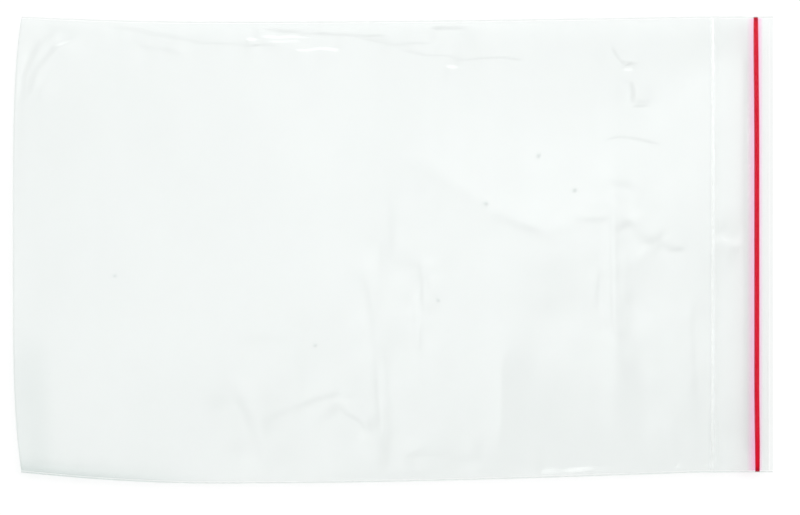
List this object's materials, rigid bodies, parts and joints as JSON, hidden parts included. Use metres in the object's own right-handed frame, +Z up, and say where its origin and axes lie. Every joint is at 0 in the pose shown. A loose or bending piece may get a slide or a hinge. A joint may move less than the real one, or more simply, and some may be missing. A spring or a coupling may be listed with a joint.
{
  "type": "resealable plastic bag",
  "caption": "Flat clear film bag with welded sides, a folded bottom and a red press-to-close zip with finger lips; the mouth panel lifts to open it.",
  "frame": {"origin": "middle of the bag's box, on the surface that the bag lies on", "axes": "+X along the bag from the bottom fold to the mouth, +Y across it to the far side weld, +Z up out of the front wall"},
  "size_m": [0.254, 0.1561, 0.0072],
  "materials": {
    "clear_film": "clear soft film, smooth, slightly cool tint",
    "clear_bead": "clear melted bead, smooth",
    "red_zip": "smooth extruded red plastic"
  },
  "bodies": {
    "bag": {"back_film": "clear_film", "front_film": "clear_film", "bottom_fold": "clear_film", "side_weld_far": "clear_bead", "side_weld_near": "clear_bead", "gore_far": "clear_film", "gore_near": "clear_film", "zip_rib": "red_zip", "zip_closed_end_far": "red_zip", "zip_closed_end_near": "red_zip", "back_bead": "clear_bead", "gore_bead_far": "clear_bead", "gore_bead_near": "clear_bead"},
    "mouth_flap": {"flap_film": "clear_film", "zip_groove": "red_zip", "front_bead": "clear_bead"},
    "front_lip": {"front_lip": "clear_film"},
    "back_lip": {"back_lip": "clear_film"}
  },
  "joints": [
    {"name": "mouth_open", "type": "hinge", "parent": "bag", "child": "mouth_flap", "pos_m": [0.074, 0, 0.00715], "axis": [0, -1, 0], "range_deg": [0, 22], "stiffness_Nm_per_rad": 0.001, "springref_deg": -20.05},
    {"name": "front_lip_peel", "type": "hinge", "parent": "mouth_flap", "child": "front_lip", "pos_m": [0.12265, 0, 0.00441], "axis": [0, -1, 0], "range_deg": [0, 60], "stiffness_Nm_per_rad": 0.00002},
    {"name": "back_lip_peel", "type": "hinge", "parent": "bag", "child": "back_lip", "pos_m": [0.12265, 0, 0.00279], "axis": [0, 1, 0], "range_deg": [0, 40], "stiffness_Nm_per_rad": 0.00005}
  ]
}
